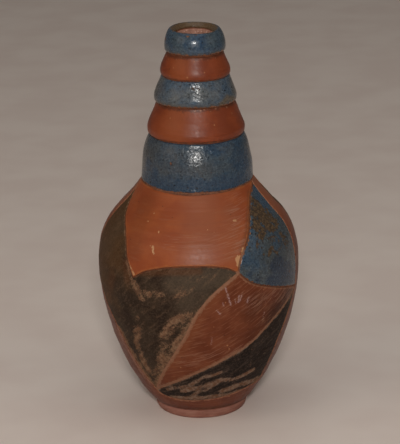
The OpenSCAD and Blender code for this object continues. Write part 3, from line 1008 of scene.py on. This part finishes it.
# Painted shade on the right of the red leaf.
LEAF_SHADE = [([[66, 82], [50, 74]], 11, 1.15), ([[46, 72], [36, 65]], 8, 0.55),
              ([[36, 90], [30, 80]], 6, 0.5)]
SHOULDER_WEAR = [
    ([[-39, 137]], 0.7, 0.8), ([[-29, 125], [-27.5, 121.5]], 0.9, 0.9),
    ([[-27.5, 133]], 0.8, 0.9), ([[-37.5, 141.5]], 0.6, 0.75), ([[28, 138]], 1.2, 0.8),
    ([[13, 144]], 0.6, 0.75), ([[6.5, 135]], 0.5, 0.75), ([[10.5, 133.5]], 0.5, 0.7),
    ([[27.5, 123], [26.5, 119.5]], 1, 1.3), ([[23.5, 118], [23.5, 114.5]], 1.9, 1.3),
    ([[24.5, 115], [24.5, 112]], 1.3, 1.3), ([[-39, 106.5], [-44, 113]], 0.8, 0.7)]
SHOULDER_CHALK = [([[38, 147], [29, 135], [23, 123]], 7, 0.48), ([[-18, 128], [20, 130]], 5, 0.25)]
SHOULDER_SHADE = [([[56, 149], [40.5, 138], [31.5, 128.5], [26.5, 122]], 2, 0.8),
                  ([[-50, 146], [-46, 136], [-42, 122]], 7, 0.35)]
# The first stroke is painted sheen: a pinker band down the front middle of the shoulder.
SHOULDER_BLOOM = [([[4, 148], [3, 130], [0, 118]], 12, 0.9), ([[24, 142], [18, 122]], 8, 0.75)]
BLUE_WEAR = [
    ([[51, 144], [57, 141.5], [60, 135], [61, 131]], 3.6, 0.8),
    ([[48, 140], [47, 136], [43.5, 132.5]], 3.8, 0.86), ([[52, 139], [53, 131]], 4.8, 0.9),
    ([[46, 130], [42, 127]], 2.6, 0.85), ([[38, 123.5], [37, 122]], 1.1, 0.85),
    ([[48, 119.5], [45, 116.5]], 1.5, 0.78), ([[49, 117.5], [51.5, 115]], 1.4, 0.8),
    ([[40.5, 117]], 0.9, 0.8), ([[60, 124], [64, 122]], 2.2, 0.62), ([[69, 122]], 1.8, 0.5),
    ([[42, 141], [48, 122], [60, 119]], 8, 0.24)]
# Painted shade over the lower right of the blue panel: greyer by the first list, deeper blue by the
# second.
BLUE_GREY_SHADE = [([[62, 118], [48, 108]], 7, 0.7), ([[70, 130], [70, 108]], 5, 0.6)]
BLUE_SHADE = [([[50, 108], [60, 100], [70, 94]], 6, 1), ([[44, 99], [66, 92]], 5, 0.8),
              ([[30, 106], [36, 103]], 3, 0.5)]
LOW_WEAR = [
    ([[42, 36.5], [34, 34.5], [24.5, 33], [14, 33.5]], 1.7, 0.9),
    ([[63, 24.5], [43, 26.5], [30, 26.5], [18, 24.5]], 2.4, 0.95),
    ([[60, 22.5], [40, 21], [25, 20], [10, 20], [-5, 19], [-30, 18]], 1.9, 1),
    ([[14, 40.5], [0.5, 36.5], [-11, 29.5], [-30, 24.5]], 1.5, 0.85),
    ([[14, 34], [5, 30], [-3, 28], [-16, 25.5]], 2.2, 1), ([[-2, 25], [-8, 20]], 2, 0.8),
    ([[10, 31], [2, 26]], 2, 0.8), (leaf_foot, 1.4, 0.65)]
# Painted shade on the right of the low dark panel.
LOW_SHADE = [([[58, 68], [54, 42], [54, 28]], 11, 1)]
BACK_DARK_WEAR = [([[-20, 90], [-12, 86]], 3.4, 0.65), ([[-50, 88], [-44, 74]], 3, 0.65),
                  ([[-14, 66], [-26, 47], [-37, 30]], 4, 0.85)]
BACK_BLUE_WEAR = [([[40, 132], [47, 126]], 3.4, 0.8), ([[60, 108]], 2.4, 0.7)]
BACK_LOW_WEAR = [([[-20, 26], [10, 32], [36, 36]], 2.4, 0.72),
                 ([[-34, 20], [10, 20], [56, 26]], 1.8, 0.8)]

for side in (0, 1):
    coat_panel("shoulder_red_slip", side, SHOULDER_RED, RED, shoulder_red, 0,
               wear=() if side else SHOULDER_WEAR, chalk=SHOULDER_CHALK, bloom=SHOULDER_BLOOM,
               shade=SHOULDER_SHADE)
    coat_panel("blue_panel_glaze", side, BLUE_PANEL, BLUE, panel_blue, 0,
               wear=BACK_BLUE_WEAR if side else BLUE_WEAR, bloom=BLUE_GREY_SHADE, shade=BLUE_SHADE)
    coat_panel("dark_leaf_slip", side, DARK_LEAF, DARK, leaf_dark, 42,
               wear=BACK_DARK_WEAR if side else DARK_WEAR, bloom=DARK_BLOOM, shade=DARK_SHADE)
    coat_panel("red_leaf_slip", side, RED_LEAF, RED, leaf_red, 18, wear=LEAF_WEAR,
               chalk=LEAF_CHALK[-2:] if side else LEAF_CHALK, bloom=LEAF_BLOOM, shade=LEAF_SHADE)
    coat_panel("low_dark_slip", side, LOW_DARK, DARK, low_dark, 22,
               wear=BACK_LOW_WEAR if side else LOW_WEAR, shade=LOW_SHADE)


def red_ground():
    """The slip round the patterns: one half of it, and the same again half a turn on."""
    angle, at, lift, edge, faces = patch(GROUND, slip_face, pitch=1.0, seams=GROUND_SEAMS)
    n = len(angle)
    points = np.concatenate([skin(angle + side * math.pi, at, lift) for side in (0, 1)])
    faces = faces + [tuple(n + i for i in f) for f in faces]
    pinkish = [([[-180, 150], [180, 150]], 30, 0.8)]
    # Painted shade: darker low down near the foot and on the right side.
    dark = [([[-180, 8], [180, 8]], 3, 0.7), ([[62, 60], [64, 30]], 6, 0.7)]
    rubbed = [([[-63.5, 62], [-60, 50], [-55, 38], [-49, 27]], 2.2, 0.72)]
    marks = marks_on(angle, at, wear=rubbed, bloom=pinkish, shade=dark)
    attributes = {"edge": np.tile(edge, 2)}
    attributes.update((kind, np.tile(cover, 2)) for kind, cover in marks.items())
    make_piece("belly_red_ground_slip", points, faces, attributes, ground_red)


red_ground()


# ---------------- floor, light and camera
def floor():
    mesh = bpy.data.meshes.new("floor")
    wide = 4
    mesh.from_pydata([(-wide, -wide, 0), (wide, -wide, 0), (wide, wide, 0), (-wide, wide, 0)],
                     [], [(0, 1, 2, 3)])
    p = Paint("pale_floor", tone(240, 226, 218))
    p.wash(tone(246, 234, 226), p.noise(60), 0.3, 0.7)
    mesh.materials.append(p.finish(0.8, 0.2))
    add_object("floor", mesh)


def softbox(name, azimuth, elevation, away, size, watts, colour):
    """A square soft light aimed at the middle of the vase; azimuth 0 is in front."""
    light = bpy.data.lights.new(name, "AREA")
    light.size = size
    light.energy = watts
    light.color = colour
    lamp = add_object(name, light)
    a, e = math.radians(azimuth), math.radians(elevation)
    way = Vector((math.sin(a) * math.cos(e), -math.cos(a) * math.cos(e), math.sin(e)))
    lamp.location = Vector((0, 0, CREST * MM / 2)) + way * away
    lamp.rotation_euler = way.to_track_quat("Z", "Y").to_euler()


floor()
softbox("key_front", 0, 24, 1.5, 0.16, 9, (1, 0.97, 0.93))
softbox("fill_left", -60, 30, 2.0, 1.2, 4, (1, 0.84, 0.7))
softbox("fill_right", 65, 30, 2.0, 1.2, 2.0, (1, 0.84, 0.7))
softbox("overhead", 0, 85, 2.0, 1.8, 7, (1, 0.96, 0.92))

world = bpy.data.worlds.new("studio")
world.use_nodes = True
background = world.node_tree.nodes["Background"]
background.inputs["Color"].default_value = (0.85, 0.8, 0.74, 1)
background.inputs["Strength"].default_value = 0.12
bpy.context.scene.world = world
bpy.context.scene.view_settings.view_transform = "Standard"

CAMERA_AWAY = 1.3                   # metres from the middle of the vase
CAMERA_UP = math.radians(18.08)     # its angle above level, from the vase's middle
TILT_DOWN = math.radians(18.14)
TURN_RIGHT = math.radians(0.058)
ROLL = math.radians(1.10)

camera_data = bpy.data.cameras.new("camera")
camera_data.sensor_fit = "HORIZONTAL"
camera_data.sensor_width = 36
camera_data.lens = 183.9
camera_data.clip_start = 0.05
camera = add_object("camera", camera_data)
camera.location = (0, -CAMERA_AWAY * math.cos(CAMERA_UP),
                   CREST * MM / 2 + CAMERA_AWAY * math.sin(CAMERA_UP))
camera.rotation_mode = "XYZ"
aim = Vector((math.sin(TURN_RIGHT) * math.cos(TILT_DOWN),
              math.cos(TURN_RIGHT) * math.cos(TILT_DOWN), -math.sin(TILT_DOWN)))
turned = aim.to_track_quat("-Z", "Y").to_matrix()
camera.rotation_euler = (turned @ Matrix.Rotation(-ROLL, 3, "Z")).to_euler()
bpy.context.scene.camera = camera
